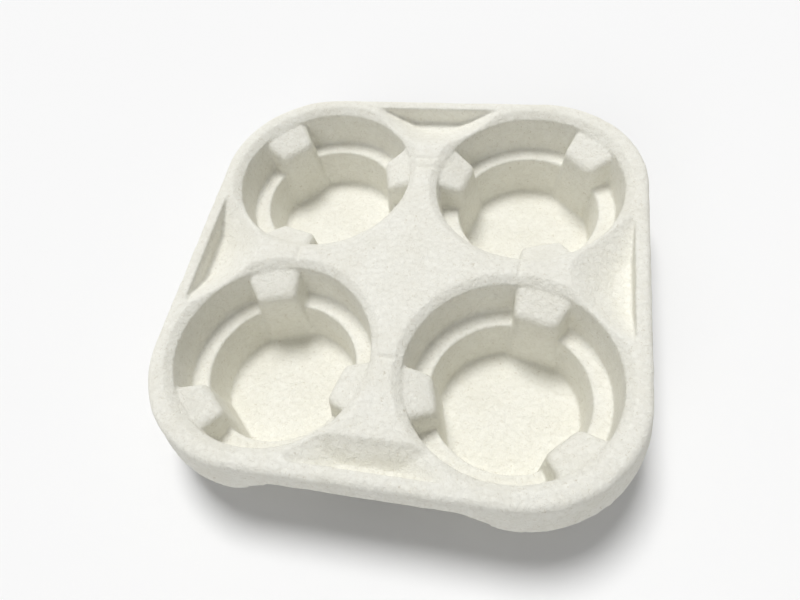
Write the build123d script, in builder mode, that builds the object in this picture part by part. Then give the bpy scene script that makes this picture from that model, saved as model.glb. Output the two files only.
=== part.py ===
from build123d import *
import os
from math import radians, sqrt, tan

os.makedirs("parts", exist_ok=True)

# Moulded pulp carrier for four hot cups: one thin-walled moulding, hollow underneath.
# Millimetres. The origin is on the table under the middle of the tray, with its front at -Y.

# Tray
tray_size = 215.0        # across the flats of the rim
corner_radius = 52.0     # rounded corner of the rim
tray_height = 46.0       # deck above the table
wall = 2.2               # pulp thickness, the same all over

# Rim and skirt
rim_width = 6.4          # flat band between the skirt and the scoops
rim_bevel = 2.4          # turn from the deck into the skirt
skirt_flare = 8.0        # degrees that the skirt leans outwards
skirt_corner = 20.0      # depth of the skirt round the corners
skirt_middle = 10.5      # depth of the skirt in the middle of each side
wave_length = 25.0       # run of the soft wave between the two depths
wave_overrun = 4.5       # part of the wave that lies round the corner
wave_sink = 0.6          # the wave starts this far under the skirt, so that it leaves it at an angle

# Cup wells
mouth_margin = 6.15      # deck between a well and the tray's edge
neck_width = 6.7         # narrowest deck between two wells
bevel_width = 3.8        # short bevel round the mouth
bevel_depth = 3.0
wall_lean = 2.0          # lean of the upper wall, from the bevel to the ledge
ledge_depth = 22.0
ledge_width = 8.0        # ledge part way down, round the narrow cup seat
seat_lean = 3.2          # lean of the seat, from the ledge to the floor

# Gripping fins, three in each well
fin_reach = 3.0          # fin at the floor, past the foot of the seat
fin_nose_width = 22.0
fin_root_width = 33.0    # fin where it leaves the wall, at the foot of the bevel
fin_step = 0.6           # the fin's top begins this far below the bevel
fin_drop = 7.5           # fall of the fin's top from its root to its nose
fin_draft = 4.0          # degrees
fin_round = 2.8

# Finger scoops in the middle of the sides
scoop_radius = 34.4
scoop_reach = 27.0       # from the rim to the scoop's far edge
scoop_slope = 19.0       # width of the slope round the scoop's floor
scoop_depth = 10.0
ramp_reach = 13.7        # from the rim to the straight edge of the front scoop
ramp_foot = 4.5          # flat strip between the ramp and the rim
ramp_depth = 9.0

# Creases pressed across the necks, by their distance from the middle of the tray
crease_width = 2.4
crease_depth = 0.9
back_creases = (58.6, 64.7)
front_crease = 51.0
side_crease = 52.4

floor_depth = tray_height - wall
mouth_radius = (tray_size - 2 * mouth_margin - neck_width) / 4
well_offset = (mouth_radius + neck_width / 2) * sqrt(2)
bevel_radius = mouth_radius - bevel_width
ledge_radius = bevel_radius - wall_lean
seat_radius = ledge_radius - ledge_width
floor_radius = seat_radius - seat_lean
rim_line = tray_size / 2 - rim_width


def half_section(points, thickness):
    """Half section in XZ of a round form, with the deck at Z0; grown by thickness for its outer skin."""
    with BuildSketch(Plane.XZ) as section:
        with BuildLine():
            Polyline(*points, close=True)
        make_face()
        if thickness:
            offset(amount=thickness, kind=Kind.INTERSECTION)
            with Locations((0, -thickness / 2)):
                Rectangle(tray_size, tray_size, align=(Align.MIN, Align.MAX), mode=Mode.INTERSECT)
    return section.sketch


def fin(thickness):
    """Gripping fin at +X of a well, with the deck at Z0; shrunk by thickness for its hollow."""
    height = tray_height + wall
    nose_radius = floor_radius - fin_reach
    length = bevel_radius - nose_radius
    back = bevel_radius + length
    half_nose = fin_nose_width / 2
    half_back = fin_root_width - half_nose
    with BuildPart() as body:
        with BuildSketch(Plane.XY.offset(-tray_height - wall)):
            with BuildLine():
                Polyline(
                    (nose_radius, -half_nose), (back, -half_back),
                    (back, half_back), (nose_radius, half_nose), close=True,
                )
            make_face()
            if thickness:
                offset(amount=-thickness, kind=Kind.INTERSECTION)
        extrude(amount=height, taper=fin_draft)
        slope = fin_drop / length
        root_depth = bevel_depth + fin_step + thickness * sqrt(1 + slope ** 2)
        top = Plane(origin=(bevel_radius, 0, -root_depth), x_dir=(0, 1, 0), z_dir=(-slope, 0, 1))
        split(bisect_by=top, keep=Keep.BOTTOM)
        if not thickness:
            nose = body.faces().filter_by(Axis.Z, reverse=True).sort_by(Axis.X)[0]
            rim = body.faces().sort_by(Axis.Z)[-1].edges().sort_by(Axis.X)[:-1]
            fillet(nose.edges() + rim, fin_round)
    return body.solid()


def well(thickness):
    """Room of one well, centred on Z, or the same form grown by the wall."""
    points = (
        (0, wall), (mouth_radius, wall), (mouth_radius, 0), (bevel_radius, -bevel_depth),
        (ledge_radius, -ledge_depth), (seat_radius, -ledge_depth), (floor_radius, -floor_depth),
        (0, -floor_depth),
    )
    section = half_section(points, thickness)
    grip = fin(thickness)
    with BuildPart() as body:
        add(section)
        revolve(axis=Axis.Z)
        with PolarLocations(0, 3):
            add(grip, mode=Mode.SUBTRACT)
    return body.solid()


def scoop(thickness):
    """Half-moon finger scoop, open to -X, with the rim's inner line at X0 and the deck at Z0."""
    floor_edge = scoop_radius - scoop_slope
    points = (
        (0, wall), (scoop_radius, wall), (scoop_radius, 0), (floor_edge, -scoop_depth), (0, -scoop_depth),
    )
    section = half_section(points, thickness)
    with BuildPart() as body:
        with Locations((scoop_radius - scoop_reach, 0, 0)):
            add(section)
        revolve(axis=Axis((scoop_radius - scoop_reach, 0, 0), (0, 0, 1)))
        split(bisect_by=Plane.YZ.offset(thickness), keep=Keep.BOTTOM)
    return body.solid()


def ramp_scoop(thickness):
    """Front scoop, placed like the half-moon: a straight edge and a ramp falling to the rim."""
    half_moon = scoop(thickness)
    with BuildPart() as body:
        add(half_moon)
        with BuildSketch(Plane.XZ):
            with BuildLine():
                Polyline(
                    (-ramp_reach, wall), (-ramp_reach, 0), (-ramp_foot, -ramp_depth), (wall, -ramp_depth),
                    (wall, wall), close=True,
                )
            make_face()
            if thickness:
                offset(amount=thickness, kind=Kind.INTERSECTION)
        extrude(amount=2 * scoop_radius, both=True, mode=Mode.INTERSECT)
    return body.solid()


def crease(distance):
    """Shallow groove across the neck at +X, with the deck at Z0."""
    half_width = crease_width / 2
    with BuildPart() as body:
        with BuildSketch(Plane.XZ):
            with BuildLine():
                Polyline(
                    (distance - half_width, 0), (distance, -crease_depth), (distance + half_width, 0),
                    close=True,
                )
            make_face()
        extrude(amount=neck_width, both=True)
    return body.solid()


def outer_block(thickness):
    """Solid block under the deck, out to the skirt; shrunk by thickness for its inside."""
    flare = skirt_corner * tan(radians(skirt_flare))
    side = tray_size - 2 * thickness + 2 * flare
    with BuildPart() as body:
        with BuildSketch(Plane.XY.offset(tray_height - skirt_corner - thickness)):
            RectangleRounded(side, side, corner_radius - thickness + flare)
        extrude(amount=skirt_corner, taper=skirt_flare)
        if not thickness:
            top = body.faces().sort_by(Axis.Z)[-1]
            chamfer(top.edges(), rim_bevel)
    return body.solid()


def skirt_arch(direction):
    """Room under two opposite sides, where the skirt's lower edge rises in a long soft wave."""
    foot = (tray_size / 2 - corner_radius + wave_overrun, tray_height - skirt_corner - wave_sink)
    crown = (foot[0] - wave_length, tray_height - skirt_middle)
    with BuildPart() as body:
        with BuildSketch(direction):
            with BuildLine():
                Spline(foot, crown, tangents=((-1, 0), (-1, 0)))
                Line(crown, (0, crown[1]))
                mirror(about=Plane.YZ)
                Line(foot, (-foot[0], foot[1]))
            make_face()
        extrude(amount=tray_size, both=True)
    return body.solid()


def deck_shell():
    """The deck with its skirt, before any well or scoop is let into it."""
    forms = [outer_block(wall), skirt_arch(Plane.XZ), skirt_arch(Plane.YZ)]
    outside = outer_block(0)
    with BuildPart() as body:
        add(outside)
        add(forms, mode=Mode.SUBTRACT)
    return body.solid()


deck = deck_shell()
well_room, well_skin = well(0), well(wall)
scoop_room, scoop_skin = scoop(0), scoop(wall)
ramp_room, ramp_skin = ramp_scoop(0), ramp_scoop(wall)
creases = [(0, side_crease), (180, side_crease), (270, front_crease)]
creases += [(90, distance) for distance in back_creases]
deck_plane = Plane.XY.offset(tray_height)

with BuildPart() as cup_carrier:
    with Locations(deck_plane):
        with PolarLocations(well_offset, 4, start_angle=45):
            add(well_skin)
    add(deck)
    with Locations(deck_plane):
        with PolarLocations(rim_line, 3, angular_range=270):
            add(scoop_skin)
        with PolarLocations(rim_line, 1, start_angle=-90):
            add(ramp_skin)
        with PolarLocations(well_offset, 4, start_angle=45):
            add(well_room, mode=Mode.SUBTRACT)
        with PolarLocations(rim_line, 3, angular_range=270):
            add(scoop_room, mode=Mode.SUBTRACT)
        with PolarLocations(rim_line, 1, start_angle=-90):
            add(ramp_room, mode=Mode.SUBTRACT)
        for direction, distance in creases:
            with Locations(Rotation(0, 0, direction)):
                add(crease(distance), mode=Mode.SUBTRACT)

cup_carrier.part.label = "cup_carrier"
export_step(cup_carrier.part, "parts/cup_carrier.step")
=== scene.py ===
from math import cos, pi, radians, sin, tan

import bmesh
import bpy
from mathutils import Matrix, Quaternion, Vector


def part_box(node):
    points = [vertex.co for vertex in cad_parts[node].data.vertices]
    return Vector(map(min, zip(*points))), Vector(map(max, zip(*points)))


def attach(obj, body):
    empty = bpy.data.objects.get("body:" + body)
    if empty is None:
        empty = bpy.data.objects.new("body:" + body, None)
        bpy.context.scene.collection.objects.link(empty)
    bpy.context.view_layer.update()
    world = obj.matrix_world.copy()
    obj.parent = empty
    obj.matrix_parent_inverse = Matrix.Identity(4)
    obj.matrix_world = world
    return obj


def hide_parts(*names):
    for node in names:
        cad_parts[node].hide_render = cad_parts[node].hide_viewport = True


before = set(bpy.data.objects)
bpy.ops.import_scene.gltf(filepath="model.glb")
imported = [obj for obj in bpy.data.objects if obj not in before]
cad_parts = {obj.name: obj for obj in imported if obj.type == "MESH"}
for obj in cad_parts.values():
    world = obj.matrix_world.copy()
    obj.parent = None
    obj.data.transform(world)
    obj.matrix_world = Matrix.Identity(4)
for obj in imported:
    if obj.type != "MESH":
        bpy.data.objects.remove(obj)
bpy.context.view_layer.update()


# Tray
# One moulding of off-white paper pulp, drawn onto a wire mould and dried in one even wall. Its edges
# come out soft, its faces a little lumpy, and short fibres and a few flecks lie in the surface.

lowest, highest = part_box("cup_carrier")
tray_height = highest[2]
wall = 0.0022

skirt_corner, skirt_middle = 0.0200, 0.0105
skirt_lean = tan(radians(8.0))
skirt_flare = skirt_corner * skirt_lean
half_side = highest[0] - skirt_flare
corner_radius = 0.0520
rim_width, rim_roll = 0.0064, 0.0030
wave_length, wave_overrun, wave_sink = 0.0250, 0.0045, 0.0006

mouth_radius, bevel_radius = 0.0490, 0.0452
ledge_radius, seat_radius, floor_radius = 0.0432, 0.0352, 0.0320
bevel_depth, ledge_depth, floor_depth = 0.0030, 0.0220, tray_height - wall
neck_width = 0.0067
well_place = mouth_radius + neck_width / 2

fin_nose, fin_nose_width, fin_root_width = floor_radius - 0.0030, 0.0220, 0.0330
fin_top_depth, fin_drop = bevel_depth + 0.0006, 0.0075
fin_draft = tan(radians(4.0))
fin_round, fin_round_steps = 0.0028, 5

scoop_radius, scoop_reach, scoop_slope, scoop_depth = 0.0344, 0.0270, 0.0190, 0.0100
ramp_reach, ramp_foot, ramp_depth = 0.0137, 0.0045, 0.0090

crease_width, crease_depth = 0.0024, 0.0014
creases = [(0, 0.0524), (90, 0.0586), (90, 0.0647), (180, 0.0524), (270, 0.0510)]

round_steps, roll_steps, wave_steps = 180, 6, 24
spare_height = 0.0060
same_point = 1e-6


def finished(shape, name):
    """Mesh of a closed form, with its faces turned outwards."""
    bmesh.ops.remove_doubles(shape, verts=shape.verts, dist=same_point)
    bmesh.ops.recalc_face_normals(shape, faces=shape.faces)
    mesh = bpy.data.meshes.new(name)
    shape.to_mesh(mesh)
    shape.free()
    return mesh


def stacked(loops):
    """Closed form through loops that have the same number of points."""
    shape = bmesh.new()
    rings = [[shape.verts.new(point) for point in loop] for loop in loops]
    for ring, following in zip(rings, rings[1:]):
        for here, there in zip(range(-1, len(ring) - 1), range(len(ring))):
            shape.faces.new((ring[here], ring[there], following[there], following[here]))
    shape.faces.new(rings[0])
    shape.faces.new(rings[-1])
    return shape


def turned(half_section):
    """Closed form turned about Z from a half section that starts and ends on the axis."""
    shape = bmesh.new()
    points = [shape.verts.new((radius, 0, height)) for radius, height in half_section]
    lines = [shape.edges.new(pair) for pair in zip(points, points[1:])]
    bmesh.ops.spin(
        shape, geom=points + lines, cent=(0, 0, 0), axis=(0, 0, 1), angle=2 * pi, steps=round_steps)
    bmesh.ops.remove_doubles(shape, verts=shape.verts, dist=same_point)
    return shape


def trimmed(shape, place, outwards):
    """The form cut off flat at a plane, with the side that the plane faces taken away."""
    everything = shape.verts[:] + shape.edges[:] + shape.faces[:]
    bmesh.ops.bisect_plane(shape, geom=everything, plane_co=place, plane_no=outwards, clear_outer=True)
    bmesh.ops.holes_fill(shape, edges=[edge for edge in shape.edges if edge.is_boundary])
    return shape


def shifted(outline, gap, closed):
    """Outline moved by gap to the right of its direction, with its corners kept sharp."""
    corners = [Vector(point) for point in outline]
    runs = [(end - start).normalized() for start, end in zip(corners, corners[1:] + corners[:1])]
    sides = [Vector((run.y, -run.x)) for run in runs]
    if not closed:
        sides[-1] = sides[-2]
    earlier = [sides[-1] if closed else sides[0]] + sides[:-1]
    return [
        corner + (first + second) * gap / (1 + first.dot(second))
        for corner, first, second in zip(corners, earlier, sides)]


def settle(piece):
    """Make what the modifiers show the piece's own mesh."""
    mesh = bpy.data.meshes.new_from_object(piece.evaluated_get(bpy.context.evaluated_depsgraph_get()))
    piece.modifiers.clear()
    piece.data = mesh


def worked(base, steps):
    """Mesh left when forms are added to a base, cut from it or kept in common, each at its places."""
    blank = bpy.data.objects.new("blank", base)
    tools = []
    for operation, mesh, places in steps:
        for place in places:
            tool = bpy.data.objects.new("tool", mesh)
            tool.matrix_world = place
            tools.append(tool)
            change = blank.modifiers.new("change", "BOOLEAN")
            change.operation = operation
            change.solver = "MANIFOLD"
            change.object = tool
    for helper in [blank] + tools:
        bpy.context.scene.collection.objects.link(helper)
    settle(blank)
    mesh = blank.data
    for helper in [blank] + tools:
        bpy.data.objects.remove(helper)
    return mesh


def round_section(wall_line, gap):
    """Half section of a round room from its wall line, or of its skin where there is a gap."""
    line = [tuple(point) for point in shifted(wall_line, gap, closed=False)]
    if gap:
        (low_radius, low), (high_radius, high) = line[-2:]
        top = -wall / 2
        line[-1] = (low_radius + (high_radius - low_radius) * (top - low) / (high - low), top)
    else:
        top = spare_height
        line.append((line[-1][0], top))
    return line + [(0, top)]


def fin(gap):
    """Gripping fin at +X of a well, with the deck at Z0, shrunk by gap for its hollow."""
    base, height = -tray_height - wall, tray_height + wall
    length = bevel_radius - fin_nose
    back = bevel_radius + length
    half_nose, half_back = fin_nose_width / 2, fin_root_width - fin_nose_width / 2
    outline = [(fin_nose, -half_nose), (back, -half_back), (back, half_back), (fin_nose, half_nose)]
    foot = [(*point, base) for point in shifted(outline, -gap, closed=True)]
    head = [(*point, base + height) for point in shifted(outline, -gap - height * fin_draft, closed=True)]
    slope = fin_drop / length
    top = Vector((bevel_radius, 0, -fin_top_depth - gap * (1 + slope ** 2) ** 0.5))
    shape = trimmed(stacked([foot, head]), top, (-slope, 0, 1))
    if not gap:
        middle = (fin_nose + bevel_radius) / 2
        soft = []
        for edge in shape.edges:
            near, far = sorted(vert.co.x for vert in edge.verts)
            low = min(vert.co.z for vert in edge.verts)
            if far < middle or (near < middle and low > base / 2):
                soft.append(edge)
        bmesh.ops.bevel(
            shape, geom=soft, offset=fin_round, segments=fin_round_steps, profile=0.5, affect="EDGES")
    return finished(shape, "fin")


def well(gap):
    """Room of a well with its three fins left standing, or its outer skin where there is a gap."""
    wall_line = [
        (0, -floor_depth), (floor_radius, -floor_depth), (seat_radius, -ledge_depth),
        (ledge_radius, -ledge_depth), (bevel_radius, -bevel_depth), (mouth_radius, 0)]
    fins = [Matrix.Rotation(2 * pi * turn / 3, 4, "Z") for turn in range(3)]
    round_room = finished(turned(round_section(wall_line, gap)), "well")
    return worked(round_room, [("DIFFERENCE", fin(gap), fins)])


def scoop(gap):
    """Half-moon scoop, open to -X, with the rim's inner line at X0, or its skin."""
    wall_line = [(0, -scoop_depth), (scoop_radius - scoop_slope, -scoop_depth), (scoop_radius, 0)]
    shape = turned(round_section(wall_line, gap))
    bmesh.ops.translate(shape, vec=(scoop_radius - scoop_reach, 0, 0), verts=shape.verts)
    return finished(trimmed(shape, (gap, 0, 0), (1, 0, 0)), "scoop")


def ramp_scoop(gap):
    """Front scoop with a straight edge and a ramp that falls to the rim, or its skin."""
    outline = [
        (-ramp_reach, 0), (-ramp_foot, -ramp_depth), (wall, -ramp_depth), (wall, spare_height),
        (-ramp_reach, spare_height)]
    loops = [
        [(x, side * 2 * scoop_radius, z) for x, z in shifted(outline, gap, closed=True)] for side in (-1, 1)]
    return worked(scoop(gap), [("INTERSECT", finished(stacked(loops), "ramp"), [Matrix()])])


def square_loop(half_width, radius, height):
    """Square outline with round corners, at one height."""
    corner_steps = round_steps // 4
    loop = []
    for quarter in range(4):
        quarter_turn = Matrix.Rotation(pi / 2 * quarter, 2)
        centre = quarter_turn @ Vector((half_width - radius, half_width - radius))
        for step in range(corner_steps + 1):
            angle = pi / 2 * (quarter + step / corner_steps)
            loop.append((centre.x + radius * cos(angle), centre.y + radius * sin(angle), height))
    return loop


def block(gap):
    """Block under the deck, out to the leaning skirt, with its upper edge rolled; plain where shrunk."""
    levels = [(skirt_corner, 0)]
    if gap:
        levels.append((0, 0))
    else:
        for step in range(roll_steps + 1):
            angle = pi / 2 * step / roll_steps
            levels.append((rim_roll * (1 - sin(angle)), rim_roll * (1 - cos(angle))))
    loops = []
    for depth, inset in levels:
        spread = depth * skirt_lean - gap - inset
        loops.append(square_loop(half_side + spread, corner_radius + spread, tray_height - depth - gap))
    return finished(stacked(loops), "block")


def skirt_arch():
    """Room under two opposite sides, where the skirt's lower edge rises in a long soft wave."""
    foot = half_side - corner_radius + wave_overrun
    bottom, crown = tray_height - skirt_corner - wave_sink, tray_height - skirt_middle
    wave = []
    for step in range(wave_steps + 1):
        run = step / wave_steps
        wave.append((foot - wave_length * run, bottom + (crown - bottom) * run * run * (3 - 2 * run)))
    outline = [(-foot, bottom - wall), (foot, bottom - wall)] + wave + [(-x, z) for x, z in reversed(wave)]
    loops = [[(x, side * 2 * half_side, z) for x, z in outline] for side in (-1, 1)]
    return finished(stacked(loops), "arch")


def crease(distance):
    """Shallow groove pressed across the neck at +X."""
    half_width = crease_width / 2
    outline = [
        (distance - half_width, 0), (distance, -crease_depth), (distance + half_width, 0),
        (distance + half_width, spare_height), (distance - half_width, spare_height)]
    loops = [[(x, side * neck_width, z) for x, z in outline] for side in (-1, 1)]
    return finished(stacked(loops), "crease")


deck_level = Matrix.Translation((0, 0, tray_height))
well_line = Matrix.Translation((well_place * 2 ** 0.5, 0, 0))
well_places = [
    deck_level @ Matrix.Rotation(pi / 4 + pi / 2 * turn, 4, "Z") @ well_line for turn in range(4)]
rim_line = Matrix.Translation((half_side - rim_width, 0, 0))
scoop_places = [deck_level @ Matrix.Rotation(pi / 2 * turn, 4, "Z") @ rim_line for turn in range(3)]
ramp_places = [deck_level @ Matrix.Rotation(-pi / 2, 4, "Z") @ rim_line]
arch_places = [Matrix(), Matrix.Rotation(pi / 2, 4, "Z")]

# All skins are joined on first and all rooms are cut out afterwards, so that the wall stays even.
steps = [
    ("DIFFERENCE", block(wall), [Matrix()]),
    ("DIFFERENCE", skirt_arch(), arch_places),
    ("UNION", well(wall), well_places),
    ("UNION", scoop(wall), scoop_places),
    ("UNION", ramp_scoop(wall), ramp_places),
    ("DIFFERENCE", well(0), well_places),
    ("DIFFERENCE", scoop(0), scoop_places),
    ("DIFFERENCE", ramp_scoop(0), ramp_places)]
for direction, distance in creases:
    crease_place = deck_level @ Matrix.Rotation(radians(direction), 4, "Z")
    steps.append(("DIFFERENCE", crease(distance), [crease_place]))
tray = bpy.data.objects.new("tray", worked(block(0), steps))
bpy.context.scene.collection.objects.link(tray)

skin_detail = 0.00065
edge_softness = 3
lump_size, lump_height = 0.0100, 0.00050
dimple_size, dimple_height = 0.0045, 0.00030
tray_triangles = 190000

# The sharp forms get one soft, slightly lumpy skin, as wet pulp has once it has dried.
even_skin = tray.modifiers.new("even_skin", "REMESH")
even_skin.mode = "VOXEL"
even_skin.voxel_size = skin_detail
soft_edges = tray.modifiers.new("soft_edges", "SMOOTH")
soft_edges.factor = 0.5
soft_edges.iterations = edge_softness
for name, size, height in (("lumps", lump_size, lump_height), ("dimples", dimple_size, dimple_height)):
    clouds = bpy.data.textures.new(name, "CLOUDS")
    clouds.noise_scale = size
    relief = tray.modifiers.new(name, "DISPLACE")
    relief.texture = clouds
    relief.texture_coords = "LOCAL"
    relief.strength = height
    relief.mid_level = 0.5
settle(tray)
fewer_faces = tray.modifiers.new("fewer_faces", "DECIMATE")
fewer_faces.ratio = min(1.0, tray_triangles / (2 * len(tray.data.polygons)))
relaxed = tray.modifiers.new("relaxed", "SMOOTH")
relaxed.factor = 0.3
relaxed.iterations = 1
settle(tray)

# Bubbles closed inside the wall are taken out, and the lumpy tray is brought back to its true size.
shape = bmesh.new()
shape.from_mesh(tray.data)
unseen, shells = set(shape.verts), []
while unseen:
    border = [unseen.pop()]
    shell = []
    while border:
        here = border.pop()
        shell.append(here)
        found = {edge.other_vert(here) for edge in here.link_edges} & unseen
        unseen -= found
        border.extend(found)
    shells.append(shell)
for bubble in sorted(shells, key=len)[:-1]:
    bmesh.ops.delete(shape, geom=bubble, context="VERTS")
corners = [[pick(vert.co[way] for vert in shape.verts) for way in range(3)] for pick in (min, max)]
for vert in shape.verts:
    vert.co = [
        low + (place - own_low) * (high - low) / (own_high - own_low)
        for place, low, high, own_low, own_high in zip(vert.co, lowest, highest, *corners)]
shape.to_mesh(tray.data)
shape.free()
tray.data.shade_smooth()

pulp_colour = (0.925, 0.915, 0.84, 1)
pulp_shade = (0.885, 0.87, 0.785, 1)
# Painted shade: the colour that the low spots of the fibre felt are darkened towards.
pit_shade_colour = (0.70, 0.67, 0.57, 1)
fleck_colour = (0.56, 0.50, 0.38, 1)
blotch_scale, fibre_scale, fleck_scale = 45, 420, 700
pit_shade_strength, fleck_strength = 0.26, 0.5
felt_height = 0.0009

pulp = bpy.data.materials.new("pulp")
pulp.use_nodes = True
node, link = pulp.node_tree.nodes.new, pulp.node_tree.links.new
shader = pulp.node_tree.nodes["Principled BSDF"]
place = node("ShaderNodeTexCoord").outputs["Object"]

blotches = node("ShaderNodeTexNoise")
blotches.inputs["Scale"].default_value = blotch_scale
blotches.inputs["Detail"].default_value = 5
blotches.inputs["Roughness"].default_value = 0.6
link(place, blotches.inputs["Vector"])
stain = node("ShaderNodeValToRGB")
stain.color_ramp.elements[0].position = 0.35
stain.color_ramp.elements[0].color = pulp_shade
stain.color_ramp.elements[1].position = 0.6
stain.color_ramp.elements[1].color = pulp_colour
link(blotches.outputs["Fac"], stain.inputs["Fac"])

fibres = node("ShaderNodeTexNoise")
fibres.inputs["Scale"].default_value = fibre_scale
fibres.inputs["Detail"].default_value = 7
fibres.inputs["Roughness"].default_value = 0.72
fibres.inputs["Distortion"].default_value = 0.6
link(place, fibres.inputs["Vector"])
# Painted shade in the pits: where the fibre noise is low, as it is in the bump's pits, the pulp colour is
# darkened towards the pit colour.
pit_shade_amount = node("ShaderNodeMapRange")
pit_shade_amount.inputs["From Min"].default_value = 0.36
pit_shade_amount.inputs["From Max"].default_value = 0.56
pit_shade_amount.inputs["To Min"].default_value = pit_shade_strength
pit_shade_amount.inputs["To Max"].default_value = 0.0
link(fibres.outputs["Fac"], pit_shade_amount.inputs["Value"])
pit_shaded = node("ShaderNodeMix")
pit_shaded.data_type = "RGBA"
link(pit_shade_amount.outputs["Result"], pit_shaded.inputs["Factor"])
link(stain.outputs["Color"], pit_shaded.inputs["A"])
pit_shaded.inputs["B"].default_value = pit_shade_colour

flecks = node("ShaderNodeTexNoise")
flecks.inputs["Scale"].default_value = fleck_scale
flecks.inputs["Detail"].default_value = 1
flecks.inputs["Distortion"].default_value = 1.5
link(place, flecks.inputs["Vector"])
fleck_amount = node("ShaderNodeMapRange")
fleck_amount.inputs["From Min"].default_value = 0.62
fleck_amount.inputs["From Max"].default_value = 0.80
fleck_amount.inputs["To Max"].default_value = fleck_strength
link(flecks.outputs["Fac"], fleck_amount.inputs["Value"])
flecked = node("ShaderNodeMix")
flecked.data_type = "RGBA"
link(fleck_amount.outputs["Result"], flecked.inputs["Factor"])
link(pit_shaded.outputs["Result"], flecked.inputs["A"])
flecked.inputs["B"].default_value = fleck_colour
link(flecked.outputs["Result"], shader.inputs["Base Color"])
shader.inputs["Roughness"].default_value = 0.95
shader.inputs["Specular IOR Level"].default_value = 0.15

felt = node("ShaderNodeBump")
felt.inputs["Strength"].default_value = 1.0
felt.inputs["Distance"].default_value = felt_height
link(fibres.outputs["Fac"], felt.inputs["Height"])
link(felt.outputs["Normal"], shader.inputs["Normal"])

tray.data.materials.clear()
tray.data.materials.append(pulp)
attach(tray, "root")
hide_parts("cup_carrier")


# Floor
# A wide sheet of pale matt studio paper, with the tray standing loose on it.

floor_size = 8.0
paper_colour = (0.90, 0.90, 0.90, 1)

bpy.ops.mesh.primitive_plane_add(size=floor_size)
floor = bpy.context.object
floor.name = "floor"
paper = bpy.data.materials.new("studio_paper")
paper.use_nodes = True
shader = paper.node_tree.nodes["Principled BSDF"]
shader.inputs["Base Color"].default_value = paper_colour
shader.inputs["Roughness"].default_value = 0.9
shader.inputs["Specular IOR Level"].default_value = 0.0
floor.data.materials.append(paper)


# Light
# Even light from all round, one soft sun nearly overhead, and a weak wide one low in front of the
# tray. Seen directly, the surroundings are as pale as the lit floor, so that no horizon shows.

surround_level = 0.28
suns = {
    "main": {"from": Vector((-0.45, 1.05, 3.00)), "width": radians(22), "strength": 2.38},
    "front_fill": {"from": Vector((-0.7, -2.3, 1.3)), "width": radians(35), "strength": 0.40},
}
backdrop_colour = (0.944, 0.944, 0.944, 1)

studio = bpy.data.worlds.new("studio")
studio.use_nodes = True
node, link = studio.node_tree.nodes.new, studio.node_tree.links.new
glow = studio.node_tree.nodes["Background"]
glow.inputs["Color"].default_value = (1, 1, 1, 1)
glow.inputs["Strength"].default_value = surround_level
backdrop = node("ShaderNodeBackground")
backdrop.inputs["Color"].default_value = backdrop_colour
backdrop.inputs["Strength"].default_value = 1.0
ray = node("ShaderNodeLightPath")
mirrored = node("ShaderNodeMath")
mirrored.operation = "MAXIMUM"
link(ray.outputs["Is Glossy Ray"], mirrored.inputs[0])
link(ray.outputs["Is Transmission Ray"], mirrored.inputs[1])
seen = node("ShaderNodeMath")
seen.operation = "MAXIMUM"
link(ray.outputs["Is Camera Ray"], seen.inputs[0])
link(mirrored.outputs["Value"], seen.inputs[1])
either = node("ShaderNodeMixShader")
link(seen.outputs["Value"], either.inputs[0])
link(glow.outputs["Background"], either.inputs[1])
link(backdrop.outputs["Background"], either.inputs[2])
link(either.outputs["Shader"], studio.node_tree.nodes["World Output"].inputs["Surface"])
bpy.context.scene.world = studio

for name, sun in suns.items():
    light = bpy.data.lights.new(name, "SUN")
    light.angle = sun["width"]
    light.energy = sun["strength"]
    holder = bpy.data.objects.new(name, light)
    holder.location = sun["from"]
    holder.rotation_mode = "QUATERNION"
    holder.rotation_quaternion = (-sun["from"]).to_track_quat("-Z", "Y")
    bpy.context.scene.collection.objects.link(holder)


# Camera
# Held close above the front right corner and rolled a little, so that the tray lies askew in view.

camera_turn = radians(23.58)
camera_height = radians(56.34)
camera_roll = radians(-15)
camera_distance = 0.29558
camera_target = Vector((-0.00793, -0.02448, 0.046))

camera = bpy.data.cameras.new("camera")
camera.lens = 29.70
camera.sensor_width = 36
camera.shift_x = 0.0268
camera.shift_y = 0.0027
camera.clip_start = 0.01
viewer = bpy.data.objects.new("camera", camera)
back = Vector((
    sin(camera_turn) * cos(camera_height), -cos(camera_turn) * cos(camera_height), sin(camera_height)))
viewer.location = camera_target + back * camera_distance
viewer.rotation_mode = "QUATERNION"
viewer.rotation_quaternion = (-back).to_track_quat("-Z", "Y") @ Quaternion((0, 0, 1), camera_roll)
bpy.context.scene.collection.objects.link(viewer)
bpy.context.scene.camera = viewer
bpy.context.scene.view_settings.view_transform = "Standard"
